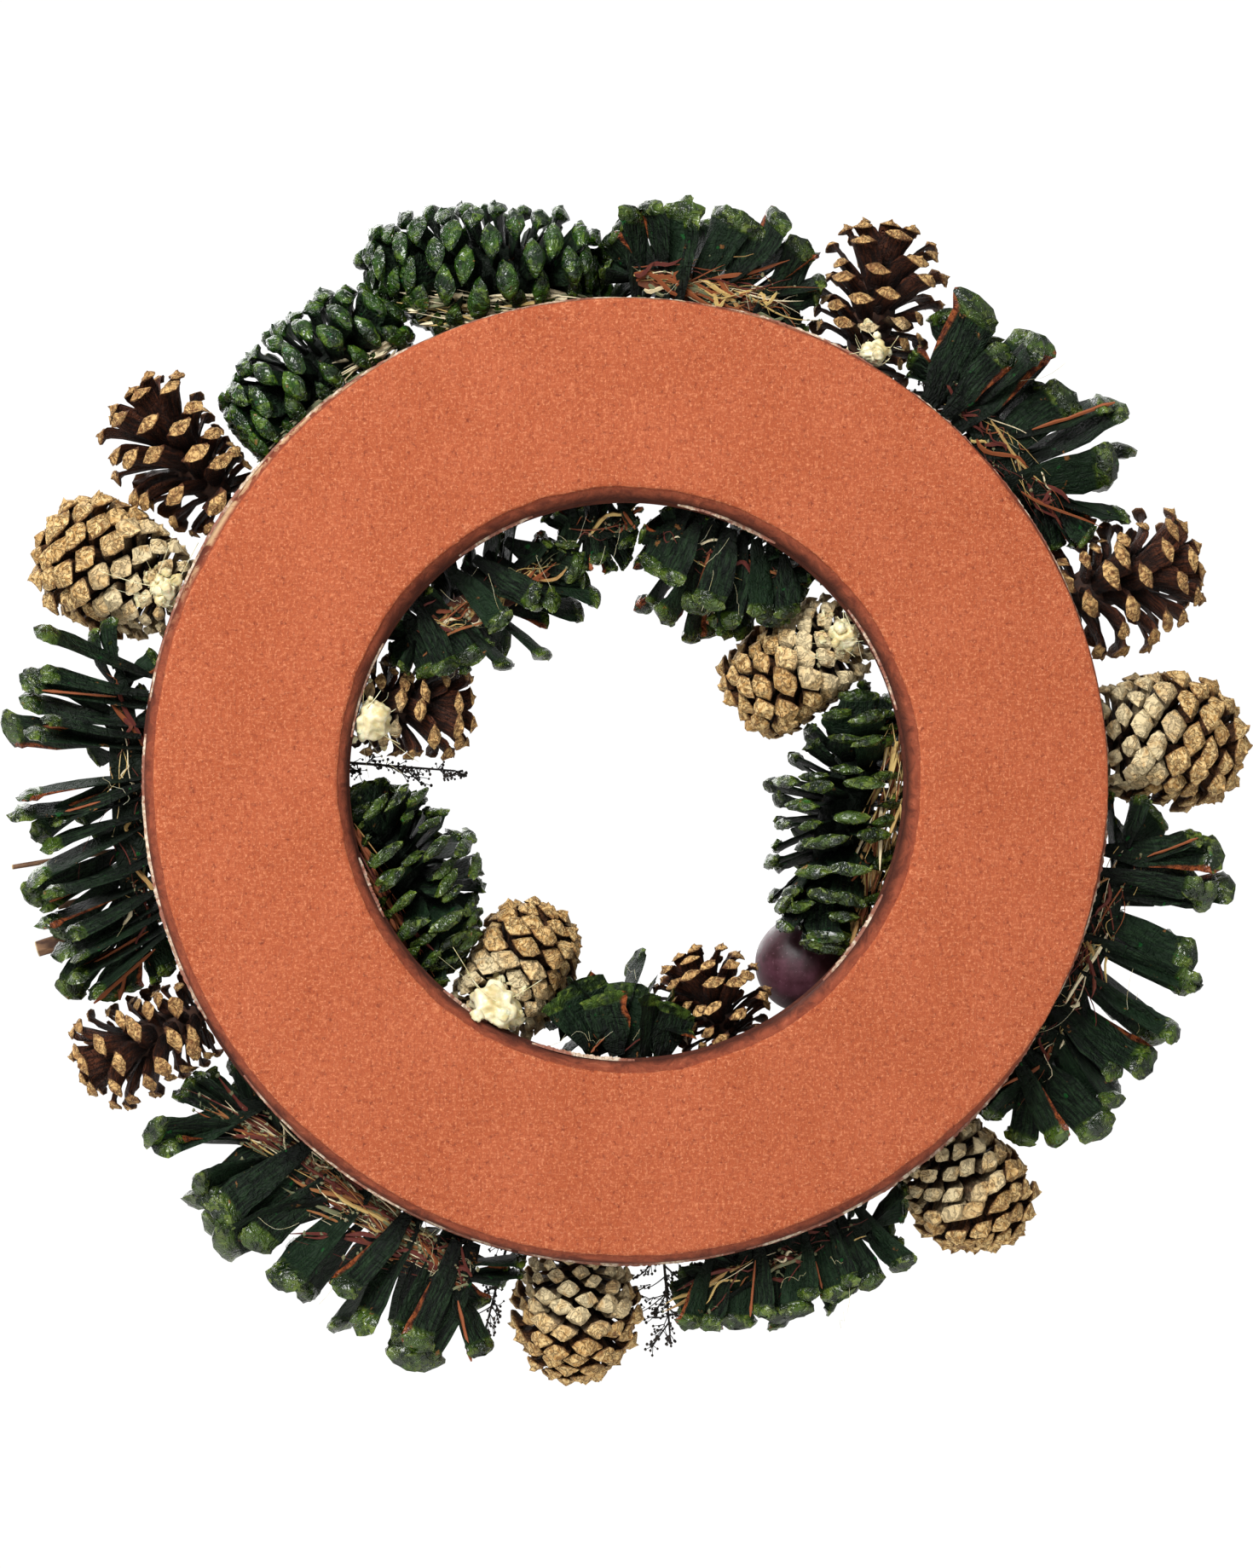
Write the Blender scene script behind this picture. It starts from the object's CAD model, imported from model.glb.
"""Looks of the pine cone wreath: fine cones, papered ring, glue, balls, sprigs, twigs, studio.

Angles and headings run clockwise from the top, as seen from behind. Sizes in the tables are in
millimetres and colours are screen values out of 255, while the frame itself is in metres.
"""
import math
import random
from collections import namedtuple
from dataclasses import dataclass, field
from itertools import combinations

import bpy
import numpy as np
from mathutils import Matrix, Vector, noise


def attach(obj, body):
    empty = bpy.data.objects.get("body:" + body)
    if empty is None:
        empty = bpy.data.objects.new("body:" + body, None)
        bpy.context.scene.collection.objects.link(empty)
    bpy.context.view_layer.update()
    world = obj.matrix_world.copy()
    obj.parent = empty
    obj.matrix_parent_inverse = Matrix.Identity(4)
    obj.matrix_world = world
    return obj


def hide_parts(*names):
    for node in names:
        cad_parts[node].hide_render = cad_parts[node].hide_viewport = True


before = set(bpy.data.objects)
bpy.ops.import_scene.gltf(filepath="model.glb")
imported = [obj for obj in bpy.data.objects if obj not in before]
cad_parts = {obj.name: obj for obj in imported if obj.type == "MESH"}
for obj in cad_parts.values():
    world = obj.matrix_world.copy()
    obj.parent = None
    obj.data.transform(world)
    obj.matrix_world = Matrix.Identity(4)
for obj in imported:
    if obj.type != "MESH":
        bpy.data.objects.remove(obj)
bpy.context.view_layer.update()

MM = 0.001
GOLDEN_TURN = math.radians(137.508)

# The ring's section and the gaps that neighbours keep, as in the part's source
RING_RADIUS = 99.5 * MM
BACK_HALF_WIDTH = 23.5 * MM
RING_HALF_WIDTH = 27.0 * MM
EDGE_DEPTH = 8.0 * MM
RING_THICKNESS = 28.0 * MM
RING_SEAT_GAP = 0.35 * MM
BACK_PLANE_GAP = 0.6 * MM
CLEARANCE = 0.15 * MM
TOUCHING = 0.01 * MM
CLOSEST_POINT_STEPS = 60
RING_CENTRE = Vector((0.0, 0.0, -RING_RADIUS))

# Each kind of cone: number of scales, core radius, scale length, tip width and thickness, height
# of the point on the tip, lean to the cone's tip, bend and turn of the scale, end size, whether
# it is split with its cut side to the back, and the look of its scales
Kind = namedtuple("Kind", "count core scale width thick umbo lean curl turn end half look")
KINDS = {
    "open": Kind(62, 6.0, 14.8, 7.6, 5.0, 0.5, 0.45, -0.12, 0.0, 0.62, False, "brown"),
    "based": Kind(118, 9.0, 11.2, 8.3, 7.6, 0.4, 0.38, -0.04, 0.0, 0.55, False, "tan"),
    "green": Kind(96, 8.0, 11.8, 10.2, 5.6, 0.6, 0.62, -0.10, 0.0, 0.84, False, "pad"),
    "layered": Kind(124, 8.0, 14.0, 10.5, 4.4, 0.6, 0.80, -0.10, 0.25, 0.90, False, "green"),
    "broad": Kind(26, 5.0, 20.0, 21.0, 2.6, 0.2, 0.30, -0.10, 0.30, 0.80, True, "green"),
    "comb": Kind(84, 5.0, 29.0, 9.8, 4.4, 0.8, 0.35, -0.12, 1.00, 0.80, True, "green"),
    "big_fan": Kind(92, 5.0, 29.0, 12.2, 5.6, 0.5, 0.35, -0.07, 0.55, 0.72, True, "green"),
    "fan": Kind(78, 5.0, 25.0, 12.4, 5.6, 0.5, 0.35, -0.07, 0.55, 0.72, True, "green"),
    "short_fan": Kind(66, 5.0, 18.0, 11.0, 5.2, 0.5, 0.45, -0.07, 0.50, 0.72, True, "green"),
}
PAINTED = ("green", "pad")

# Materials of a cone, in the order of its slots
SCALE, INSIDE, TORN, GLUE, TIP = range(5)

# Rings and sides of the round meshes
EGG_MESH = (14, 20)
CRUMB_MESH = (4, 6)
BUD_MESH = (4, 5)
BALL_MESH = (36, 54)
BLOB_MESH = (40, 56)
LUMP_MESH = (10, 14)
TWIG_MESH = (60, 28)

# Cones: kind, angle, distance from the ring's centre and depth of the base, heading, rise to the
# front, length and size. Then how much split wood a split cone shows against the scales that
# cover it, or the range of tones of the bark torn along a whole one
Cone = namedtuple("Cone", "name kind angle reach depth heading rise length size wood",
                  defaults=(None,))
CONES = [Cone("cone_" + row[0], *row[1:]) for row in (
    ("out_01_green", "fan", 0, 133, 14, 100, 4, 42, 0.88, 1.0),
    ("out_02_brown", "open", 30, 125, 24, 14, 6, 32, 1.06),
    ("out_03_green", "fan", 38, 136, 15, 139, 4, 50, 1.08, 0.4),
    ("out_04_brown", "open", 67, 126, 24, 72, 4, 30, 1.10),
    ("out_05_tan", "based", 84, 126, 25, 97, 4, 32, 1.10),
    ("out_06_green", "big_fan", 97, 135, 15, 202, 4, 68, 1.00, 0.4),
    ("out_07_tan", "based", 140, 124, 24, 133, 16, 28, 0.98),
    ("out_08_green", "short_fan", 150, 133, 14, 249, 4, 48, 0.90, 0.4),
    ("out_09_tan", "based", 186, 124, 24, 177, 16, 28, 0.94),
    ("out_10_green", "big_fan", 197, 137, 15, 305, 4, 78, 1.00, 0.8),
    ("out_11_brown", "open", 241, 125, 24, 245, 4, 28, 1.00),
    ("out_12_green", "comb", 283, 136, 15, 176, 4, 76, 0.96, 0.15),
    ("out_13_tan", "based", 292, 127, 24, 297, 8, 31, 1.06),
    ("out_14_brown", "open", 305, 127, 24, 320, 8, 30, 1.08),
    ("out_15_green", "green", 356, 134, 22, 271, 4, 52, 1.04, (0.78, 1.0)),
    ("out_16_green", "green", 332, 138, 22, 227, 4, 46, 0.96, (0.82, 1.0)),
    ("in_01_green", "short_fan", 347, 67, 16, 84, 4, 16, 0.60, 0.4),
    ("in_02_green", "short_fan", 8, 66, 15, 112, 4, 36, 1.06, 0.3),
    ("in_03_tan", "based", 56, 72, 24, 234, 8, 28, 1.04),
    ("in_04_green", "layered", 75, 66, 22, 190, 4, 58, 0.98, (0.34, 0.90)),
    ("in_05_brown", "open", 157, 74, 24, 330, 10, 18, 0.84),
    ("in_06_green", "broad", 170, 67, 15, 280, 4, 24, 0.78, 0.15),
    ("in_07_tan", "based", 210, 73, 24, 31, 8, 27, 0.98),
    ("in_08_green", "layered", 262, 66, 22, 154, 4, 40, 0.92, (0.10, 0.50)),
    ("in_09_brown", "open", 286, 73, 24, 88, 6, 22, 0.98),
    ("in_10_green", "short_fan", 303, 67, 15, 61, 4, 44, 0.97, 0.8),
    ("front_01_brown", "open", 6, 100, 32, 20, 76, 32, 1.28),
    ("front_02_green", "green", 25, 101, 39, 129, 4, 48, 1.18),
    ("front_03_tan", "based", 80, 101, 32, 70, 74, 31, 1.24),
    ("front_04_green", "green", 100, 101, 39, 203, 4, 46, 1.18),
    ("front_05_brown", "open", 144, 100, 32, 130, 74, 32, 1.28),
    ("front_06_green", "green", 162, 101, 39, 262, 4, 38, 1.12),
    ("front_07_tan", "based", 212, 100, 32, 220, 74, 31, 1.24),
    ("front_08_green", "green", 231, 101, 39, 334, 4, 46, 1.18),
    ("front_09_brown", "open", 274, 100, 32, 280, 76, 32, 1.28),
    ("front_10_green", "green", 291, 101, 39, 33, 4, 40, 1.14),
    ("front_11_tan", "based", 343, 100, 32, 340, 76, 29, 1.12),
)]

# Balls and blobs of hot glue: angle, distance from the ring's centre, depth, and the radius of
# the core and of the whole lump
LUMPS = {
    "ball_1": (134, 69, 40, 13.0, 13.0),
    "ball_2": (62, 100, 41.4, 13.0, 13.0),
    "ball_3": (192, 100, 41.4, 13.0, 13.0),
    "ball_4": (324, 100, 41.4, 13.0, 13.0),
    "glue_1": (210, 69, 9, 2.2, 8.5),
    "glue_2": (283, 69, 9, 2.2, 7.0),
    "glue_3": (56, 69, 9, 2.2, 7.0),
    "glue_4": (292, 130, 9, 2.2, 7.5),
    "glue_5": (30, 130, 9, 2.2, 6.5),
    "glue_6": (134, 81, 27.5, 2.2, 5.0),
}

# Twigs and dried sprigs: angle, distance from the ring's centre and depth of the root, distance
# and depth of the far end, and the radius of the core and of the whole piece
STICKS = {
    "twig_1": (262, 106, 25, 162, 31, 0.8, 0.8),
    "twig_2": (254, 106, 26, 160, 31, 2.6, 2.6),
    "twig_3": (257.5, 106, 25, 152, 30, 1.1, 1.1),
    "sprig_1": (38, 106, 25, 158, 34, 1.0, 4.0),
    "sprig_2": (175, 106, 25, 146, 27, 1.0, 4.0),
    "sprig_3": (194, 106, 25, 148, 28, 1.0, 4.0),
    "sprig_4": (274, 93, 25, 44, 30, 1.0, 4.0),
}

# Each look of scale: sides of its section, crowding and flare of the scales at the cone's base,
# share of the core's radius at their roots and of the core itself, where the tip starts, hollow
# of the blade, slant and crumple of the tip, waver of the aim, swing to the side and spread of
# the length. Then its outline along its length: share of the length, half the width and half the
# thickness against those of the tip, and how square (over 2), round (2) or diamond-like (near 1)
# its section is
Style = namedtuple("Style", "sides crowding flare root egg cap hollow slant crumple waver swing "
                            "spread outline")
STYLES = {
    "brown": Style(8, 1.0, 0.35, 0.90, 0.92, 0.85, 0.10, 0.10, 0.07, 0.15, 0.06, 0.07, (
        (0.00, 0.18, 0.38, 0.60, 0.78, 0.855, 0.885, 0.915, 0.95, 0.98),
        (0.26, 0.34, 0.43, 0.49, 0.50, 0.50, 0.50, 0.46, 0.30, 0.12),
        (0.17, 0.09, 0.065, 0.06, 0.07, 0.15, 0.40, 0.44, 0.30, 0.13),
        (2.0, 2.4, 2.6, 2.6, 2.2, 1.8, 1.5, 1.4, 1.3, 1.4))),
    "tan": Style(8, 1.12, 0.55, 0.66, 0.66, 0.775, 0.08, 0.05, 0.09, 0.07, 0.03, 0.12, (
        (0.00, 0.18, 0.38, 0.58, 0.71, 0.78, 0.81, 0.85, 0.91, 0.96),
        (0.24, 0.27, 0.34, 0.42, 0.47, 0.49, 0.51, 0.48, 0.32, 0.14),
        (0.17, 0.10, 0.075, 0.07, 0.08, 0.20, 0.43, 0.44, 0.31, 0.15),
        (2.0, 2.4, 2.6, 2.6, 2.2, 1.9, 1.4, 1.3, 1.25, 1.3))),
    "green": Style(10, 1.0, 1.0, 0.90, 0.92, 0.80, -0.05, 0.40, 0.15, 0.10, 0.15, 0.07, (
        (0.00, 0.12, 0.32, 0.52, 0.70, 0.79, 0.84, 0.88, 0.915, 0.95, 0.975, 0.99),
        (0.17, 0.23, 0.35, 0.44, 0.48, 0.48, 0.50, 0.50, 0.54, 0.49, 0.37, 0.21),
        (0.18, 0.11, 0.08, 0.075, 0.09, 0.15, 0.30, 0.36, 0.40, 0.34, 0.25, 0.14),
        (2.6, 3.4, 3.6, 3.2, 2.8, 2.3, 1.8, 1.6, 1.5, 1.5, 1.5, 1.7))),
    "pad": Style(10, 1.0, 1.0, 0.90, 0.92, 0.72, -0.06, 0.15, 0.08, 0.08, 0.04, 0.07, (
        (0.00, 0.18, 0.40, 0.60, 0.72, 0.79, 0.86, 0.925, 0.97, 0.99),
        (0.24, 0.32, 0.43, 0.50, 0.51, 0.52, 0.52, 0.42, 0.27, 0.12),
        (0.20, 0.12, 0.10, 0.11, 0.18, 0.42, 0.52, 0.44, 0.28, 0.13),
        (2.0, 2.4, 2.6, 2.4, 2.0, 1.6, 1.5, 1.5, 1.6, 1.8))),
}
ROOT_SHARE = 0.90
SCALE_ROOT_SINK = 0.10
THIN_BLADE = 0.08
PAD_SHIFT = 0.35
CAP_BLUR = 0.04
RIM_SHARE = 0.93
RIM_BLUR = 0.03
SHORTEST_SCALE = 0.14
FIT_STEPS = 50
SMALLEST_SIZE = 0.55
EDGE_WAVE = 0.12
PAINTED_LEAN = 0.45
BASE_SHRINK = 0.42
ROUGHNESS = 0.05
STREAK_STRETCH = 0.12
STREAK_SHIFT = 40.0
SHARP_EDGE = math.radians(24)
PAINTED_EDGE = math.radians(48)

# The spiral's share of the core, and the growth and waver of its green scales; the spacing of
# the scales that cover a split cone's cut side, and how far apart their roots may reach
SPIRAL_SPAN = 0.985
GREEN_GROWTH = (0.80, 1.12)
GREEN_WAVER = 0.16
COVER_SPACING = 0.72
ROOT_REACHES = np.linspace(2.3, 0.5, 10)

# Split cones: how far past the middle scales still stand, their rusty edges and peeled strips,
# glue hairs, and the width from which a scale is a leaf without a painted tip
CUT_RIM = 0.16
RUSTED = 0.24
EDGE_REACH = 0.50
EDGE_BLUR = 0.22
PEELED = 0.18
HAIRS = 7
HAIR_RADIUS = 0.04
LEAF_WIDTH = 16.0
BARE_WOOD = 0.5

# Split wood: lengths of the strands, how many to a millimetre of half the cone, how they crowd
# to its base, and the chance, number and size of the crumbs on each
Wood = namedtuple("Wood", "lengths many crowding chance crumbs crumb_size")
WOOD = Wood((4.0, 7.0, 12.0, 20.0), 4.4, 1.0, 0.4, 5, 0.45)
MOSSY_WOOD = Wood((7.0, 12.0, 20.0, 32.0), 6.0, 1.5, 0.6, 7, 0.55)
MOSSY = "cone_out_10_green"
MOSSY_TONES = (0.02, 0.05, 0.1, 0.14, 0.18, 0.25, 0.45, 0.55, 0.86, 0.94, 0.97)
CREAM_TONE = 0.86
CREAM_THICKNESS = 0.24
STRAW = ("cone_out_01_green", "cone_in_10_green")
STRAND_TAPER = np.array((0.4, 0.8, 1.0, 0.8, 0.95, 0.7, 0.75, 0.4, 0.1))
BARK_TAPER = np.array((0.4, 0.9, 1.0, 0.9, 0.8, 0.5, 0.15))
BARK_MANY = 11.0
PEEL_TAPER = np.array((0.3, 0.8, 1.0, 0.8, 1.0, 0.9, 1.3, 0.4))

# The ring's mesh, the fold along the edges of its back, the crumpled border, how far its outer
# edge is out of true and where most, and where the hole's side is paler
RING_STEPS = 600
FLAT_STEPS = (0.0, 1.0, 2.0, 3.5, 5.0, 7.0, 9.5, 13.0, 17.0)
FOLD = 2.0 * MM
FOLD_DEPTH = 0.9 * MM
FOLD_STEPS = 6
WALL_STEPS = 7
DOME_STEPS = 22
BORDER = 9.0 * MM
BORDER_DEPTH = 7.5 * MM
WALL_ROOM = 0.75 * MM
LOPSIDE = 2.6
LEAST_LOPSIDE = 0.3
LOPSIDE_HEADING = 42.0
PALE_HEADING = 335.0
LIPS = ((RING_HALF_WIDTH, 1), (RING_HALF_WIDTH, 1), (-RING_HALF_WIDTH, -1))

# Glue: what share of its reach each blob fills, its lumps and strings, and how far it smears
GLUE_FILL = {"glue_1": 1.0, "glue_2": 0.95, "glue_3": 0.60, "glue_4": 0.60, "glue_5": 0.65,
             "glue_6": 0.9}
GLUE_LUMPS = 9
GLUE_STRINGS = 12
GLUE_SMEAR = 13.0

# Sprigs: the stem's branches, as in the part's source, and the fine twiglets that the scene adds.
# Each of the two has its radii, sides, places of the buds' clusters, and their number and size
SPRIG_ROOT = 0.55
SPRIG_BRANCHES = 6
SPRIG_LEAN = 0.9
TURN_WAVER = 0.3
BRANCH_START = 0.30
BRANCH_SPAN = 0.60
BRANCH_LENGTH = 9.0
SHORTEST_BRANCH = 2.5
BRANCH_STEP = 0.4
BUD_ROOM = 1.3
BRANCH_TURN = 2.4
TWIGLETS = 14
BRANCH = ((0.26, 0.16), 6, (0.35, 0.6, 0.8, 1.0), 5, 0.42)
TWIGLET = ((0.20, 0.10), 4, (0.7, 1.0), 3, 0.40)
STEM_TONE = 0.4
ROOT_STEP = 0.1
ROOT_SIDES = 8

# Camera in metres and degrees from the ring's centre, and the studio round it: each lamp's place
# from there, size and power
CAMERA_DISTANCE = 1.5
CAMERA_LENS = 132.6
CAMERA_YAW = 4.5
CAMERA_PITCH = -2.0
CAMERA_SHIFT = (-0.0022, -0.0032)
FLOOR_DROP = 0.36
FLOOR_RADIUS = 1.2
FLOOR_SIDES = 96
BACKDROP_Y = -4.0
BACKDROP_CORNERS = ((-2.5, -2.0), (2.5, -2.0), (2.5, 2.5), (-2.5, 2.5))
WORLD_LIGHT = 0.40
LAMPS = {
    "key": ((0.60, 1.20, 0.95), 0.80, 35.0),
    "fill": ((0.6, -1.2, 0.7), 1.2, 14.0),
}


def clamp(value):
    return min(1.0, max(0.0, value))


def unit(vector):
    return vector / np.linalg.norm(vector)


def draws(draw, *limits, count=3):
    """Several random draws in a row, as an array."""
    return np.array([draw(*limits) for _ in range(count)])


def steps_along(count):
    """Even steps from 0 to 1, to be multiplied with vectors."""
    return np.linspace(0.0, 1.0, count)[:, None]


def direction(heading, rise=0.0):
    """Unit vector: clockwise from straight up as seen from behind, leaning to the front by rise."""
    turn = math.radians(heading)
    lean = math.radians(rise)
    flat = Vector((-math.sin(turn), 0.0, math.cos(turn)))
    return flat * math.cos(lean) + Vector((0.0, -math.sin(lean), 0.0))


def ring_point(out, reach, depth):
    """Point at a reach along a direction out from the ring's centre, and at a depth, in metres."""
    return RING_CENTRE + out * reach + Vector((0.0, -depth, 0.0))


def place(angle, reach, depth):
    """Point at an angle round the ring, with its reach and depth in millimetres."""
    return ring_point(direction(angle), reach * MM, depth * MM)


GLUE_SPOTS = np.array([place(*LUMPS[name][:3]) for name in GLUE_FILL])


def ring_side(depth):
    """Half the ring's width at depths between its flat back and its dome."""
    share = np.clip(depth / EDGE_DEPTH, 0.0, 1.0)
    bulge = RING_HALF_WIDTH - BACK_HALF_WIDTH
    return BACK_HALF_WIDTH + bulge * np.sin(share * math.pi / 2)


def ring_clearance(points):
    """Distance of points from the ring's surface, taken towards the middle of its section."""
    local = points - np.array(RING_CENTRE)
    depth = -local[..., 1]
    across = np.hypot(local[..., 0], local[..., 2]) - RING_RADIUS
    up = np.maximum(depth - EDGE_DEPTH, 0.0)
    dome = RING_THICKNESS - EDGE_DEPTH
    ratio = np.maximum(np.hypot(across / RING_HALF_WIDTH, up / dome), TOUCHING)
    over_dome = np.hypot(across, up) * (1.0 - 1.0 / ratio)
    return np.where(depth <= EDGE_DEPTH, np.abs(across) - ring_side(depth), over_dome)


@dataclass
class Core:
    """A rounded stick that bounds a piece's body, and the planes of the cell that it lies in."""

    name: str
    start: Vector
    end: Vector
    radius: float
    reach: float
    planes: list = field(default_factory=list)

    def holds(self, points):
        """For each point, whether it is clear of the neighbours' cells, the ring and the door."""
        points = np.asarray(points)
        clear = (points[..., 1] <= -BACK_PLANE_GAP) & (ring_clearance(points) >= RING_SEAT_GAP)
        for corner, normal in self.planes:
            clear &= (points - np.array(corner)) @ np.array(normal) <= -CLEARANCE
        return clear

    def nearest(self, point):
        """The stick's point nearest to another point."""
        along = self.end - self.start
        if along.length_squared == 0.0:
            return self.start.copy()
        share = (point - self.start).dot(along) / along.length_squared
        return self.start + along * clamp(share)


def divide(cores):
    """Give every two neighbours a plane between them, which neither crosses."""
    for core, other in combinations(cores, 2):
        there = (other.start + other.end) / 2
        for _ in range(CLOSEST_POINT_STEPS):
            here = core.nearest(there)
            there = other.nearest(here)
        between = there - here
        if between.length > core.reach + other.reach:
            continue
        slack = between.length - core.radius - other.radius
        normal = between.normalized()
        spread = core.reach - core.radius
        share = spread / max(spread + (other.reach - other.radius), TOUCHING)
        corner = here + normal * (core.radius + CLEARANCE + (slack - 2 * CLEARANCE) * share)
        core.planes.append((corner, normal))
        other.planes.append((corner, -normal))


def cone_core(cone):
    kind = KINDS[cone.kind]
    radius = kind.core * cone.size * MM
    start = place(cone.angle, cone.reach, cone.depth)
    axis = direction(cone.heading, cone.rise)
    length = max(cone.length * MM - radius, radius + TOUCHING)
    reach = radius + kind.scale * cone.size * MM
    return Core(cone.name, start + axis * radius, start + axis * length, radius, reach)


def all_cores():
    """Every glued-on piece's core, by its name, with the planes between them worked out."""
    cores = {cone.name: cone_core(cone) for cone in CONES}
    for name, (angle, reach, depth, radius, spread) in LUMPS.items():
        centre = place(angle, reach, depth)
        cores[name] = Core(name, centre, centre.copy(), radius * MM, spread * MM)
    for name, (angle, root, sunk, reach, depth, radius, spread) in STICKS.items():
        start, end = place(angle, root, sunk), place(angle, reach, depth)
        cores[name] = Core(name, start, end, radius * MM, spread * MM)
    divide(list(cores.values()))
    return cores


def add_object(name, data):
    """Put a new object with this data in the scene."""
    made = bpy.data.objects.new(name, data)
    bpy.context.scene.collection.objects.link(made)
    return made


class Soup:
    """Vertices, faces and values gathered for one mesh."""

    def __init__(self, sharp=SHARP_EDGE):
        self.points, self.faces, self.slots, self.streaks = [], [], [], []
        self.values = {name: [] for name in ("along", "cap", "tone", "pale")}
        self.sharp = sharp
        self.count = 0

    def add(self, points, faces, slot, along, cap, tone, pale=0.0, streak=0.0):
        points = np.asarray(points, float).reshape(-1, 3)
        self.points.append(points)
        self.faces.extend([tuple(int(i) + self.count for i in face) for face in faces])
        self.slots.extend([slot] * len(faces) if isinstance(slot, int) else slot)
        for name, value in zip(self.values, (along, cap, tone, pale)):
            self.values[name].append(np.broadcast_to(value, len(points)).astype(np.float32))
        self.streaks.append(np.broadcast_to(streak, points.shape).astype(np.float32))
        self.count += len(points)

    def build(self, name, materials):
        mesh = bpy.data.meshes.new(name)
        mesh.from_pydata(np.concatenate(self.points).tolist(), [], self.faces)
        for material in materials:
            mesh.materials.append(material)
        mesh.polygons.foreach_set("material_index", self.slots)
        for key, parts in self.values.items():
            layer = mesh.attributes.new(key, "FLOAT", "POINT")
            layer.data.foreach_set("value", np.concatenate(parts))
        layer = mesh.attributes.new("streak", "FLOAT_VECTOR", "POINT")
        layer.data.foreach_set("vector", np.concatenate(self.streaks).ravel())
        mesh.shade_smooth()
        mesh.set_sharp_from_angle(angle=self.sharp)
        mesh.update()
        return add_object(name, mesh)


def wall_faces(rows, sides, closed=False):
    """Quads between each row of points and the next, all round."""
    faces = []
    for row in range(rows if closed else rows - 1):
        here, there = row * sides, (row + 1) % rows * sides
        for side in range(sides):
            after = (side + 1) % sides
            faces.append((here + side, here + after, there + after, there + side))
    return faces


def tube_faces(rings, sides):
    """Quads of a tube of rings, with both ends closed by a fan round their last vertices."""
    faces = wall_faces(rings, sides)
    start, last = rings * sides, (rings - 1) * sides
    for side in range(sides):
        after = (side + 1) % sides
        faces += [(start, after, side), (start + 1, last + side, last + after)]
    return faces


def cross_directions(path):
    """Two directions across a path at each of its points."""
    tangent = np.gradient(path, axis=0)
    tangent /= np.linalg.norm(tangent, axis=1, keepdims=True)
    helper = np.array((0.31, 0.89, 0.33))
    side = np.cross(tangent, helper)
    side /= np.linalg.norm(side, axis=1, keepdims=True)
    return side, np.cross(tangent, side)


def add_tube(soup, path, radii, sides, slot, tone=0.5):
    """A round closed tube along a path, thicker or thinner by its radii."""
    path = np.asarray(path, float)
    side, up = cross_directions(path)
    turn = np.arange(sides) * math.tau / sides
    ring = side[:, None] * np.cos(turn)[None, :, None] + up[:, None] * np.sin(turn)[None, :, None]
    points = path[:, None] + ring * np.asarray(radii, float)[:, None, None]
    points = np.concatenate([points.reshape(-1, 3), path[:1], path[-1:]])
    along = np.repeat(np.linspace(0.0, 1.0, len(path)), sides)
    soup.add(points, tube_faces(len(path), sides), slot, np.append(along, (0.0, 1.0)), 0.0, tone)


def scale_template(style):
    """Unit scale: along, across and thickness shares of each vertex, its faces, cap and rim."""
    turn = np.arange(style.sides) * math.tau / style.sides
    cos, sin = np.cos(turn), np.sin(turn)
    outline = np.array(style.outline).T
    rows = []
    for share, width, thick, power in outline:
        x = width * np.sign(cos) * np.abs(cos) ** (2.0 / power)
        z = thick * np.sign(sin) * np.abs(sin) ** (2.0 / power) - PAD_SHIFT * (thick - THIN_BLADE)
        rows.append(np.stack([np.full(style.sides, share), x, z], axis=1))
    points = np.concatenate(rows + [np.array(((-0.05, 0.0, 0.0), (1.0, 0.0, -0.12)))])
    cap = np.clip((points[:, 0] - style.cap) / CAP_BLUR, 0.0, 1.0)
    rim = np.exp(-((points[:, 0] - RIM_SHARE) / RIM_BLUR) ** 2)
    rim = rim * (np.abs(points[:, 1]) / 0.5) ** 2
    return points, tube_faces(len(outline), style.sides), cap, rim


def sphere_rays(rings, sides):
    """Unit vectors over a sphere, ordered for a closed tube with two end points."""
    rays = []
    for ring in range(rings):
        turn = math.pi * (ring + 0.5) / rings
        for side in range(sides):
            around = math.tau * side / sides
            rays.append((math.sin(turn) * math.cos(around), math.sin(turn) * math.sin(around),
                         -math.cos(turn)))
    return np.array(rays + [(0.0, 0.0, -1.0), (0.0, 0.0, 1.0)])


CRUMB = sphere_rays(*CRUMB_MESH)
CRUMB_FACES = tube_faces(*CRUMB_MESH)


def fit_shares(core, roots, tips):
    """Largest share of the way from each scale's root points to its tip points inside the cell."""
    shares = np.zeros(len(roots))
    for step in np.linspace(1.0, 0.02, FIT_STEPS)[::-1]:
        shares[core.holds(roots + (tips - roots) * step).all(axis=1)] = step
    return shares


def cone_axes(cone, core):
    """Middle, half length, and unit vectors along the cone, across it and to its cut side."""
    axis = np.array(direction(cone.heading, cone.rise))
    mid = np.array((core.start + core.end) / 2)
    half = (core.end - core.start).length / 2 + core.radius
    side = unit(np.cross(axis, (0.0, 1.0, 0.0)))
    return mid, half, axis, side, unit(np.cross(side, axis))


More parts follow.
